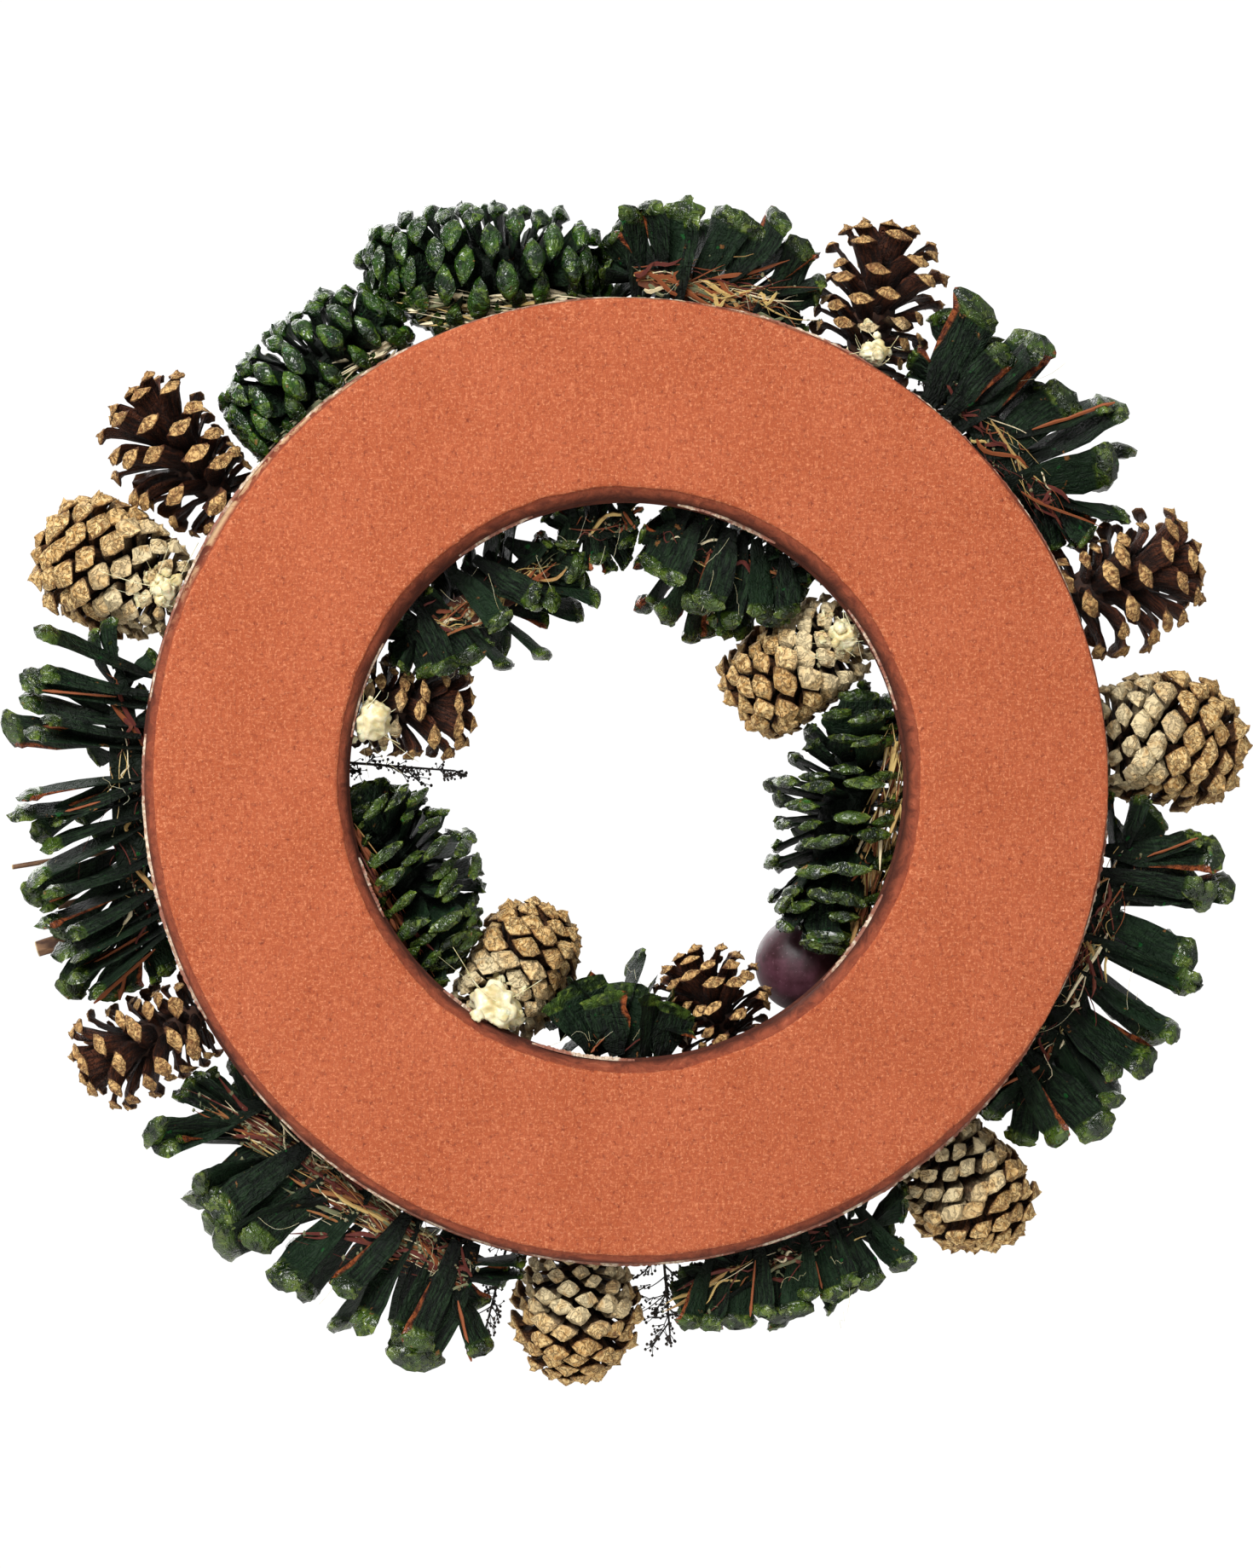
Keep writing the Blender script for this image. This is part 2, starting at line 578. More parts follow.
def spiral_scales(cone, kind, core, axes, rng):
    """Root, aim, across and size of each scale, set by the golden angle on the egg-shaped core."""
    mid, half, axis, side, cut = axes
    style = STYLES[kind.look]
    rows = []
    for number in range(kind.count):
        even = (number + 0.5) / kind.count
        share = (2.0 * (even ** style.crowding) - 1.0) * SPIRAL_SPAN
        around = number * GOLDEN_TURN
        girth = math.sqrt(1.0 - share * share)
        radial = side * math.cos(around) + cut * math.sin(around)
        if kind.half and math.sin(around) * girth > CUT_RIM:
            continue
        root = mid + axis * share * half + radial * core.radius * girth * style.root
        aim = radial * girth + axis * share * (style.flare if share < 0.0 else 1.0)
        upright = kind.look in PAINTED and not kind.half
        back = PAINTED_LEAN * (1.0 - share) if upright else 0.0
        aim = unit(aim) + axis * kind.lean * (1.0 - back)
        aim = unit(aim + draws(rng.uniform, -style.waver, style.waver))
        across = np.cross(np.cross(aim, np.cross(axis, radial)), aim)
        grow = cone.size * (kind.end + (1.0 - kind.end) * girth)
        if kind.look == "green":
            grow *= rng.uniform(*GREEN_GROWTH)
            aim = unit(aim + draws(rng.gauss, 0.0, GREEN_WAVER))
            across = np.cross(np.cross(aim, across), aim)
        if kind.look == "tan" and share < 0.0:
            grow *= 1.0 + BASE_SHRINK * share
        extra = core.radius * (ROOT_SHARE - style.root)
        rows.append((root, aim, unit(across), grow, extra, kind.turn, share))
    return rows


def root_reach(core, spot, outward):
    """How many core radii towards the ring a scale's root can lie inside the cone's cell."""
    for share in ROOT_REACHES:
        if core.holds((spot - outward * core.radius * share)[None]).all():
            return share
    return ROOT_REACHES[-1]


def covering_scales(cone, kind, core, axes, rng):
    """Scales of a split cone that lie over its cut side, from the ring's rim outwards."""
    mid, half, axis, _, cut = axes
    local = mid - np.array(RING_CENTRE)
    outward = np.array((local[0], 0.0, local[2]))
    inside = np.linalg.norm(outward) < RING_RADIUS
    outward /= np.linalg.norm(outward) * (-1.0 if inside else 1.0)
    count = max(3, round(2 * half / (kind.width * cone.size * MM * COVER_SPACING)))
    rows = []
    for layer in (0, 1):
        for number in range(count):
            if rng.random() < cone.wood * (0.55 if layer else 0.15) + 0.25 * layer:
                continue
            share = -0.97 + 1.94 * (number + 0.25 + 0.5 * layer) / count
            share += rng.uniform(-0.04, 0.04)
            root = (mid + axis * share * half * 0.95
                    + cut * core.radius * (0.15 + 0.45 * layer))
            root = root - outward * core.radius * root_reach(core, root, outward)
            root = root + outward * core.radius * rng.uniform(0.0, 0.3)
            aim = unit(outward
                       + axis * (kind.lean * 0.5 + 0.50 * share + rng.uniform(-0.10, 0.10))
                       + cut * (-0.05 + 0.10 * layer + rng.uniform(-0.05, 0.05)))
            grow = cone.size * (0.84 - 0.20 * layer + 0.12 * rng.random())
            turn = rng.choice((-1.0, 1.0)) * rng.uniform(0.0, 0.85)
            if kind.turn >= 1.0:
                turn = rng.uniform(0.85, 1.2) * kind.turn
            across = unit(np.cross(aim, cut))
            rows.append((root, aim, across, grow, 1.6 * core.radius, turn, share))
    return rows


def make_cone(cone, core):
    """Thin curved scales with thick tips on an egg-shaped core, and its torn wood or bark."""
    kind = KINDS[cone.kind]
    rng = random.Random(cone.name)
    axes = cone_axes(cone, core)
    mid, half, axis, side, cut = axes
    soup = Soup(PAINTED_EDGE if kind.look in PAINTED else SHARP_EDGE)
    girth = core.radius * STYLES[kind.look].egg
    egg = sphere_rays(*EGG_MESH) * (girth, girth, half * 0.97)
    egg[:-2, :2] *= 1.0 + draws(rng.uniform, -0.06, 0.06, count=len(egg) - 2)[:, None]
    egg = egg @ np.stack([side, cut, axis]) + mid
    if kind.half:
        past = np.maximum(0.0, (egg - mid) @ cut - core.radius * 0.10)
        egg -= past[:, None] * cut
    wooden = kind.look not in PAINTED or (kind.half and cone.wood > BARE_WOOD)
    soup.add(egg, tube_faces(*EGG_MESH), INSIDE if wooden else SCALE, 0.3, 0.0, 0.5)
    rows = spiral_scales(cone, kind, core, axes, rng)
    if kind.half:
        rows += covering_scales(cone, kind, core, axes, rng)
    add_scales(soup, kind, core, rows, rng)
    if kind.half:
        add_torn_core(soup, core, cone, axes, rng)
        add_hairs(soup, core, axes, rng)
    elif cone.wood:
        add_bark(soup, core, axes, cone.wood, rng)
    return soup


def fitted_scales(kind, core, rows, rng):
    """Size of each scale and its thick direction, with the share of it that fits the cell."""
    spread = STYLES[kind.look].spread
    roots, tips, sizes = [], [], []
    for root, aim, across, grow, extra, turn, _ in rows:
        length = kind.scale * grow * MM * rng.uniform(0.99 - spread, 0.99 + spread)
        length = length + core.radius * 0.1 + extra
        width = kind.width * grow * MM * rng.uniform(0.90, 1.10)
        deep = kind.thick * grow * MM * rng.uniform(0.90, 1.10)
        thick = np.cross(aim, across)
        reach = across * math.cos(turn) + thick * math.sin(turn)
        tip = root + aim * (length + kind.umbo * grow * MM)
        near = root + aim * length * 0.88
        roots.append([root] * 6)
        tips.append([tip, near + reach * width / 2, near - reach * width / 2,
                     near + thick * deep / 2, near - thick * deep / 2,
                     root + aim * length * 0.5 + reach * width * 0.45])
        sizes.append((length, width, deep, thick))
    return sizes, fit_shares(core, np.array(roots), np.array(tips))


def add_scales(soup, kind, core, rows, rng):
    """Shorten each scale until it lies in the cone's cell, bend and crumple it, and add it."""
    style = STYLES[kind.look]
    template, faces, cap, rim = scale_template(style)
    along, flat, high = np.split(template, 3, axis=1)
    on_tip = cap[:, None]
    painted = kind.look in PAINTED and kind.width < LEAF_WIDTH
    slots = [TIP if painted and np.mean(cap[list(face)]) > 0.5 else SCALE for face in faces]
    sizes, shares = fitted_scales(kind, core, rows, rng)
    for row, (length, width, deep, thick), fit in zip(rows, sizes, shares):
        if fit < SHORTEST_SCALE:
            continue
        root, aim, across, grow, _, turn, share = row
        length *= fit
        width *= SMALLEST_SIZE + (1.0 - SMALLEST_SIZE) * fit
        deep *= SMALLEST_SIZE + (1.0 - SMALLEST_SIZE) * fit
        wave = rng.uniform(-1.0, 1.0)
        twist = turn + 0.25 * wave * along
        phase = rng.uniform(0.0, math.tau)
        ripple = np.sin(phase + 7.0 * along + 3.0 * flat)
        ripple += 0.5 * np.sin(2.0 * phase + 17.0 * along - 4.0 * flat)
        wide = flat * width * (1.0 + EDGE_WAVE * ripple)
        tall = high * deep + style.hollow * width * (flat / 0.5) ** 2 * (1.0 - on_tip)
        x = wide * np.cos(twist) - tall * np.sin(twist)
        z = wide * np.sin(twist) + tall * np.cos(twist)
        bend = kind.curl * length * (1.0 + 1.2 * wave) * along ** 2
        swing = style.swing * length * rng.uniform(-1.0, 1.0) * along ** 1.6
        ends = np.zeros((len(template), 1))
        ends[-1] = kind.umbo * grow * MM * fit
        ends = ends + style.slant * high * deep * on_tip
        points = (root + aim * (along * length - core.radius * SCALE_ROOT_SINK + ends)
                  + across * (x + swing) + thick * (z + bend))
        crumple = draws(rng.gauss, 0.0, 1.0, count=points.size).reshape(points.shape)
        points += crumple * (ROUGHNESS + style.crumple * on_tip) * MM
        pale = rim if painted else 0.0
        if kind.half and rng.random() < RUSTED:
            side = rng.choice((-1.0, 1.0))
            edge = np.exp(-((side * template[:, 1] / EDGE_REACH - 1.0) / EDGE_BLUR) ** 2)
            span = np.clip((template[:, 0] - rng.uniform(0.1, 0.5)) / 0.1, 0.0, 1.0)
            pale = rim - 1.3 * edge * span
        if kind.look not in PAINTED:
            near = np.min(np.linalg.norm(points[:, None] - GLUE_SPOTS[None], axis=2), axis=1)
            pale = np.clip(1.5 - 1.5 * near / (GLUE_SMEAR * MM) + 0.3 * wave, 0.0, 1.0)
            if near[-1] < GLUE_SMEAR * MM * rng.uniform(0.6, 1.0):
                add_crumbs(soup, core, points[cap > 0.5], 5, GLUE, 0.5, rng)
            if kind.look == "tan":
                based = (-0.20 - share + 0.35 * float(aim[1])) / 0.30 + 0.4 * wave
                pale = np.maximum(pale, clamp(based))
        if kind.half and fit > 0.6 and rng.random() < PEELED:
            add_peel(soup, core, root, aim, across, thick, length, width, rng)
        tone = rng.random()
        streak = np.hstack([flat * width / MM, along * length / MM * STREAK_STRETCH,
                            np.full_like(along, STREAK_SHIFT * tone)])
        soup.add(points, faces, slots, template[:, 0], cap, tone, pale, streak)


def add_torn_core(soup, core, cone, axes, rng):
    """Split wood on the cut side: long fibres that run with the cone and fray at their ends."""
    mid, half, axis, side, cut = axes
    mossy = cone.name == MOSSY
    wood = MOSSY_WOOD if mossy else WOOD
    step = steps_along(len(STRAND_TAPER))
    for _ in range(int(half / MM * wood.many * cone.wood)):
        at = -0.98 + 1.68 * rng.random() ** wood.crowding
        offset = rng.gauss(0.0, 0.42)
        length = rng.choice(wood.lengths) * rng.uniform(0.7, 1.3) * MM
        lift = rng.uniform(0.1, 2.0) * MM
        drift = rng.gauss(0.0, 0.24)
        wiggle = rng.uniform(0.0, math.tau)
        wag, pace = rng.uniform(0.5, 1.8) * MM, rng.uniform(3.0, 8.0)
        start = (mid + axis * at * half + side * offset * core.radius
                 + cut * core.radius * rng.uniform(0.06, 0.35))
        sway = drift * length * step + wag * np.sin(wiggle + pace * step)
        path = (start + axis * length * step + side * sway
                + cut * lift * np.sin(step * 2.6) * (0.3 + step * 0.7))
        if not core.holds(path).all():
            continue
        thick = rng.choice((0.08, 0.12, 0.16, 0.24, 0.45, 0.7)) * MM
        tone = rng.random() ** (0.8 if cone.name in STRAW else 1.8)
        if mossy:
            tone = rng.choice(MOSSY_TONES)
            thick = min(thick, CREAM_THICKNESS * MM) if tone == CREAM_TONE else thick
        add_tube(soup, path, thick * STRAND_TAPER, 4, TORN, tone)
        if rng.random() < wood.chance:
            add_crumbs(soup, core, path, wood.crumbs, TORN, rng.uniform(0.93, 1.0), rng,
                       wood.crumb_size)


def add_crumbs(soup, core, spots, count, slot, tone, rng, grow=1.0):
    """Small uneven lumps on some of the spots."""
    for _ in range(count):
        mid = spots[rng.randrange(len(spots))]
        size = draws(rng.uniform, 0.3, 1.5) * (rng.uniform(0.5, 1.0) * grow * MM)
        lump = CRUMB * size * (1.0 + draws(rng.uniform, -0.35, 0.35, count=len(CRUMB))[:, None])
        if core.holds(mid + lump).all():
            soup.add(mid + lump, CRUMB_FACES, slot, 0.0, 0.0, tone)


def add_hairs(soup, core, axes, rng):
    """Long fine strings of glue caught across the scales."""
    mid, half, axis, side, cut = axes
    step = steps_along(10)
    for _ in range(HAIRS):
        reach = core.reach * rng.uniform(0.3, 0.75)
        turn = rng.uniform(0.0, math.tau)
        start = (mid + axis * half * rng.uniform(-0.8, 0.8)
                 + side * math.cos(turn) * reach + cut * core.radius * rng.uniform(0.5, 1.4))
        way = axis * rng.gauss(0.0, 1.0) + side * rng.gauss(0.0, 1.0) + cut * rng.gauss(0, 0.2)
        way *= rng.uniform(5.0, 14.0) * MM / np.linalg.norm(way)
        sag = cut * rng.uniform(-1.0, 1.0) * MM
        sag = sag - np.array((0.0, 0.0, rng.uniform(0, 3.0))) * MM
        bend = side * rng.gauss(0.0, 1.2) * MM
        pace = draws(rng.uniform, 4.0, 7.0, count=len(step))[:, None]
        path = start + way * step + sag * np.sin(math.pi * step) + bend * np.sin(pace * step)
        if core.holds(path).all():
            add_tube(soup, path, np.full(len(path), HAIR_RADIUS * MM), 4, GLUE)


def add_bark(soup, core, axes, tones, rng):
    """A ragged strip of torn bark along the side of a whole cone that meets the ring."""
    mid, half, axis, side, cut = axes
    inward = np.array(RING_CENTRE) - mid
    inward[1] = 0.0
    reach = np.linalg.norm(inward)
    inward *= (1.0 if reach > RING_RADIUS else -1.0) / reach
    step = steps_along(len(BARK_TAPER))
    for _ in range(int(half / MM * BARK_MANY)):
        length = rng.choice((4.0, 8.0, 14.0)) * rng.uniform(0.7, 1.3) * MM
        start = (mid + axis * half * rng.uniform(-1.1, 0.85)
                 + inward * core.radius * rng.uniform(0.75, 2.0)
                 + cut * core.radius * rng.uniform(0.7, 1.35))
        way = axis + side * rng.gauss(0.0, 0.18) + cut * rng.gauss(0.0, 0.10)
        wiggle = rng.uniform(0.0, math.tau)
        path = start + way * length * step + cut * 0.4 * MM * np.sin(wiggle + 4.0 * step)
        if core.holds(path).all():
            thick = rng.choice((0.12, 0.2, 0.35, 0.7)) * MM
            add_tube(soup, path, thick * BARK_TAPER, 5, TORN, rng.uniform(*tones))


def add_peel(soup, core, root, aim, across, thick, length, width, rng):
    """A thin strip torn along one edge of a scale, curling away from it."""
    edge = rng.choice((-1.0, 1.0)) * rng.uniform(0.25, 0.48)
    curl = rng.uniform(0.3, 1.6) * MM
    begin = rng.uniform(0.15, 0.45)
    step = np.linspace(begin, rng.uniform(0.8, 1.0), len(PEEL_TAPER))[:, None]
    path = (root + aim * length * step + across * edge * width * (0.4 + 0.6 * step)
            + np.array((0.0, 1.0, 0.0)) * (0.5 * MM + curl * step * step)
            + thick * draws(rng.gauss, 0.0, 0.08, count=len(step))[:, None] * MM)
    if core.holds(path).all():
        size = rng.uniform(0.25, 0.6) * MM
        add_tube(soup, path, size * PEEL_TAPER, 5, TORN, rng.uniform(0.24, 0.40))


def clearance_share(core, base, ways, reach, least=0.0):
    """How far each way from the base can run, up to reach, and stay inside the cell."""
    best = np.full(len(ways), least)
    for length in np.linspace(reach, least, 40)[:-1]:
        best = np.maximum(best, np.where(core.holds(base + ways * length), length, least))
    return best


def ring_section():
    """Points round the ring's section: across, depth, and how far each is down the side walls."""
    half, edge = BACK_HALF_WIDTH, EDGE_DEPTH
    flat = [half - FOLD - step * MM for step in FLAT_STEPS]
    side = []
    for step in range(1, FOLD_STEPS + 1):
        turn = math.pi / 2 * step / FOLD_STEPS
        side.append((half - FOLD + FOLD * math.sin(turn) ** 0.7,
                     FOLD_DEPTH * (1 - math.cos(turn)), 0.5 * step / FOLD_STEPS))
    for step in range(1, WALL_STEPS + 1):
        depth = FOLD_DEPTH + (edge - FOLD_DEPTH) * step / WALL_STEPS
        side.append((float(ring_side(depth)), depth, 1.0))
    dome = []
    for step in range(1, DOME_STEPS):
        turn = math.pi * step / DOME_STEPS
        dome.append((RING_HALF_WIDTH * math.cos(turn),
                     edge + (RING_THICKNESS - edge) * math.sin(turn), 1.0))
    left = [(-across, depth, wall) for across, depth, wall in side[::-1]]
    back = [(-across, 0.0, 0.0) for across in flat] + [(across, 0.0, 0.0) for across in flat[::-1]]
    return back + side + dome + left


def crumple(out, across, depth):
    """How far the paper at a spot near an edge is pushed outwards and pressed in, in metres."""
    rim = abs(across) - (BACK_HALF_WIDTH - BORDER)
    near = clamp(rim / BORDER) * max(0.0, 1.0 - depth / BORDER_DEPTH)
    if near == 0.0:
        return 0.0, 0.0
    turned = Vector((out.x, out.z, across / (30.0 * MM)))
    wave = noise.noise(turned * 2.7) + 0.5 * noise.noise(turned * 8.0)
    crease = abs(noise.noise(Vector((out.x * 13.0, out.z * 13.0, depth * 160.0 + across * 30.0))))
    fine = noise.noise(Vector((out.x * 90.0, out.z * 90.0, depth * 500.0 + across * 60.0)))
    wall = min(1.0, depth / (1.0 * MM))
    push = (wave * 0.8 - crease * 0.6 + fine * 0.2) * MM * near * (0.4 + 0.6 * wall)
    press = max(0.0, crease * 0.9 + fine * 0.25 - 0.1) * MM * near ** 2 * (1.0 - 0.6 * wall)
    return push, press


def make_ring():
    """Papered ring: flat back with crumpled edges, bulging side walls and a domed front."""
    soup = Soup()
    section = ring_section()
    limit = float(ring_side(EDGE_DEPTH)) - WALL_ROOM
    points, walls, deeps, pales = [], [], [], []
    for number in range(RING_STEPS):
        heading = 360.0 * number / RING_STEPS
        out = direction(heading)
        lean = math.cos(math.radians(heading - LOPSIDE_HEADING))
        lopside = LOPSIDE * MM * min(1.0, max(LEAST_LOPSIDE, 2.0 * lean + 0.5))
        faded = max(0.0, math.cos(math.radians(heading - PALE_HEADING))) ** 3
        for across, depth, wall in section:
            push, press = crumple(out, across, depth)
            if across > 0.0:
                share = clamp((across - 14.0 * MM) / (9.0 * MM))
                push += lopside * share * max(0.0, 1.0 - depth / EDGE_DEPTH) ** 0.6
            outer = min(abs(across) + push, limit) if depth < EDGE_DEPTH else abs(across)
            reach = RING_RADIUS + math.copysign(outer, across)
            points.append(ring_point(out, reach, depth + press)[:])
            walls.append(wall)
            deeps.append(0.5 if depth > EDGE_DEPTH else depth / EDGE_DEPTH)
            pales.append(faded if across > 0.0 else 0.0)
    soup.add(points, wall_faces(RING_STEPS, len(section), True), 0, deeps, 0.0, walls, pales)
    for number, (across, outward) in enumerate(LIPS):
        add_torn_lip(soup, random.Random(f"lip {number}"), across, outward)
    return soup


def add_torn_lip(soup, rng, across, outward):
    """Ragged strips of torn paper along the widest line of the ring's side wall."""
    heading = rng.uniform(0.0, 20.0)
    end = heading + 360.0
    base = RING_RADIUS + across - outward * WALL_ROOM
    while heading < end:
        span = rng.uniform(6.0, 26.0)
        steps = int(span * 3.0)
        depth = rng.uniform(4.2, 6.4)
        stand = rng.uniform(0.15, 0.70)
        phase = rng.uniform(0.0, math.tau)
        rows = []
        for step in range(steps + 1):
            share = step / steps
            out = direction(heading + span * share)
            fade = min(1.0, 6.0 * share, 6.0 * (1.0 - share))
            ragged = stand * fade * rng.uniform(0.3, 1.0)
            level = depth + 0.5 * math.sin(share * 5.0 + phase) + rng.gauss(0.0, 0.10)
            broad = 0.8 * fade * rng.uniform(0.4, 1.2) + 0.12
            for reach, low in ((0.0, 0.0), (0.45 + ragged, 0.1), (0.45 + ragged, 0.1 + broad),
                               (0.0, 0.3 + broad)):
                rows.append(ring_point(out, base + outward * reach * MM, (level + low) * MM)[:])
        faces = [(0, 1, 2, 3), tuple(steps * 4 + i for i in (3, 2, 1, 0))]
        soup.add(rows, faces + wall_faces(steps + 1, 4), 1, 0.0, 1.0, rng.random())
        heading += span * (rng.uniform(1.0, 2.0) if outward > 0 else rng.uniform(1.3, 3.0))


def add_glue_blob(soup, core, mid, size, mesh, rng):
    """A smooth uneven blob that flattens where it meets the walls of its cell."""
    rays = sphere_rays(*mesh)
    offset = Vector((rng.uniform(0, 50), 0.0, 0.0))
    swell = np.array([noise.fractal(Vector(ray) * 1.6 + offset, 1.0, 2.0, 2) for ray in rays])
    want = size * np.clip(0.92 + 0.45 * swell, 0.4, 1.2)
    clear = clearance_share(core, mid, rays, size * 1.2) + TOUCHING * MM
    spread = (want ** -4.0 + clear ** -4.0) ** -0.25
    soup.add(mid + rays * spread[:, None], tube_faces(*mesh), 0, 0.0, 0.0, 0.5)


def make_glue(core):
    """Lumps of hot glue run together in their cell, with fine strings."""
    rng = random.Random(core.name)
    soup = Soup(math.pi)
    fill = GLUE_FILL[core.name]
    start = np.array(core.start)
    add_glue_blob(soup, core, start, core.reach * 0.95 * fill, BLOB_MESH, rng)
    for _ in range(GLUE_LUMPS):
        way = unit(draws(rng.gauss, 0, 1))
        far = clearance_share(core, start, way[None], core.reach * 1.3)[0]
        add_glue_blob(soup, core, start + way * far * rng.uniform(0.55, 0.9) * fill,
                      core.reach * rng.uniform(0.12, 0.30), LUMP_MESH, rng)
    step = steps_along(9)
    for _ in range(GLUE_STRINGS):
        ways = np.array([unit(draws(rng.gauss, 0, 1)) for _ in range(2)])
        far = clearance_share(core, start, ways, core.reach * 2.4, core.radius)
        first, last = start + ways[0] * far[0] * 0.6, start + ways[1] * far[1]
        sag = np.array((rng.gauss(0, 0.5), 0.0, -rng.uniform(0.0, 1.2))) * MM
        path = first + (last - first) * step + sag * np.sin(math.pi * step)
        if core.holds(path).all():
            thick = rng.choice((0.05, 0.07, 0.12))
            add_tube(soup, path, np.linspace(1.3, 0.7, len(path)) * thick * MM, 5, 0)
    return soup


def make_ball(core):
    """A berry-like ball, slightly uneven and pinched at its end."""
    rays = sphere_rays(*BALL_MESH)
    dent = np.array([noise.noise(Vector(ray) * 2.2) for ray in rays]) * 0.006
    tip = np.exp(-((1.0 - rays[:, 2]) / 0.012))
    radius = core.radius * (0.992 + dent - 0.05 * tip)
    soup = Soup()
    soup.add(np.array(core.start) + rays * radius[:, None], tube_faces(*BALL_MESH), 0,
             (rays[:, 2] + 1) / 2, 0.0, 0.5)
    return soup


def seated_root(core, radius):
    """Where a stick's round end first meets the ring, going in from its far end."""
    along = (core.start - core.end).normalized()
    side = along.orthogonal().normalized() * radius
    turns = [Matrix.Rotation(math.tau * i / ROOT_SIDES, 3, along) for i in range(ROOT_SIDES)]
    rim = np.array([(turn @ side)[:] for turn in turns])
    root = core.end.copy()
    while (ring_clearance(np.array(root) + rim) > RING_SEAT_GAP).all():
        root += along * (ROOT_STEP * MM)
    return root - along * (ROOT_STEP * MM)


def make_twig(core):
    """A stick of bark with long furrows, a knot and a pale cut end."""
    rng = random.Random(core.name)
    root = np.array(seated_root(core, core.radius))
    rings, sides = TWIG_MESH
    shares = np.linspace(0.0, 1.0, rings)
    sway = np.array((0.0, 0.0, 1.0)) * np.sin(shares * math.pi)[:, None] * 0.4 * MM
    path = root + (np.array(core.end) - root) * shares[:, None] + sway
    side, up = cross_directions(path)
    points = []
    for row, share in enumerate(shares):
        knot = 1.0 + 0.14 * math.exp(-((share - 0.62) / 0.03) ** 2)
        for turn in np.arange(sides) * math.tau / sides:
            x, y = math.cos(turn), math.sin(turn)
            furrow = noise.noise(Vector((x * 3.2, y * 3.2, share * 3.0)))
            grain = noise.noise(Vector((x * 8.0, y * 8.0, share * 14.0)))
            radius = core.radius * (1.0 - 0.15 * share) * knot
            radius *= 0.93 + 0.09 * furrow + 0.04 * grain
            points.append(path[row] + (side[row] * x + up[row] * y) * radius)
    points += [path[0], path[-1]]
    cap = np.zeros(len(points))
    cap[(rings - 1) * sides:rings * sides] = 0.7
    cap[-1] = 1.0
    soup = Soup()
    soup.add(points, tube_faces(rings, sides), 0, np.append(np.repeat(shares, sides), (0, 1)), cap,
             rng.random())
    return soup


def branch_length(core, joint, way, wanted):
    """Longest branch, up to the wanted one, whose bud stays inside the cell."""
    length = wanted
    while length > SHORTEST_BRANCH * MM:
        if core.holds(np.array(joint + way * (length + BUD_ROOM * MM))):
            return length
        length -= BRANCH_STEP * MM
    return 0.0


def add_buds(soup, rng, core, base, way, count, size):
    """Tiny buds on thin stalks round the end of a branch."""
    for _ in range(count):
        aim = (way + Vector([rng.gauss(0, 0.55) for _ in range(3)])).normalized()
        stalk = rng.uniform(1.2, 3.4) * MM
        tip = base + aim * stalk
        if not core.holds(np.array(tip + aim * size * MM)):
            continue
        knee = base + aim * stalk * 0.5 + Vector((0, 0, rng.gauss(0, 0.1))) * MM
        add_tube(soup, [base[:], knee[:], tip[:]], np.array((0.13, 0.11, 0.10)) * MM, 3, 0)
        bud = sphere_rays(*BUD_MESH) * (size * rng.uniform(0.7, 1.15) * MM)
        soup.add(bud + np.array(tip), tube_faces(*BUD_MESH), 0, 1.0, 1.0, rng.random())


def add_branch(soup, rng, core, joint, way, length, sag, shape):
    """A side branch that may sag, with clusters of buds along it."""
    radii, sides, clusters, buds, size = shape
    path = [(joint + way * length * share + sag * math.sin(2.6 * share))[:]
            for share in np.linspace(0.0, 1.0, 6)]
    add_tube(soup, path, np.linspace(*radii, 6) * MM, sides, 0, tone=STEM_TONE)
    for share in clusters:
        add_buds(soup, rng, core, joint + way * length * share, way, buds, size)


def make_sprig(core):
    """A dried stem with side branches and twiglets turned round it, and clusters of tiny buds."""
    rng = random.Random(core.name)
    root = seated_root(core, SPRIG_ROOT * MM)
    along = core.end - root
    aim = along.normalized()
    side = aim.cross(Vector((0.0, 1.0, 0.0))).normalized()
    lift = aim.cross(side)

    def way_round(turn, lean):
        return (side * math.cos(turn) + lift * math.sin(turn) + aim * lean).normalized()

    soup = Soup()
    branches = []
    for step in range(SPRIG_BRANCHES):
        joint = root + along * (BRANCH_START + BRANCH_SPAN * step / (SPRIG_BRANCHES - 1))
        turn = step * BRANCH_TURN + rng.uniform(-TURN_WAVER, TURN_WAVER)
        way = way_round(turn, SPRIG_LEAN)
        wanted = BRANCH_LENGTH * MM * rng.uniform(0.75, 1.0)
        branches.append((joint, way, branch_length(core, joint, way, wanted)))
    path = [(root + along * share)[:] for share in np.linspace(0.0, 1.0, 12)]
    add_tube(soup, path, np.linspace(0.46, 0.26, 12) * MM, 8, 0, tone=STEM_TONE)
    add_buds(soup, rng, core, core.end, aim, 14, 0.46)
    for joint, way, length in branches:
        if length > 0.0:
            add_branch(soup, rng, core, joint, way, length, Vector(), BRANCH)
    for _ in range(TWIGLETS):
        joint = root + along * rng.uniform(0.08, 0.95)
        way = way_round(rng.uniform(0, math.tau), rng.uniform(0.1, 0.9))
        length = branch_length(core, joint, way, rng.uniform(4.0, 10.0) * MM)
        if length > 0.0:
            sag = Vector((0.0, 0.0, -rng.uniform(0.0, 0.9))) * MM
            add_branch(soup, rng, core, joint, way, length, sag, TWIGLET)
    for share in np.linspace(0.55, 0.95, 7):
        way = way_round(rng.uniform(0, math.tau), 0.7)
        add_buds(soup, rng, core, root + along * share, way, 4, 0.40)
    return soup


def linear(colour):
    """Colour for a shader from screen values out of 255, or a socket as it is."""
    if not isinstance(colour, tuple):
        return colour
    values = []
    for value in colour:
        value /= 255.0
        values.append(value / 12.92 if value <= 0.04045 else ((value + 0.055) / 1.055) ** 2.4)
    return (*values, 1.0)


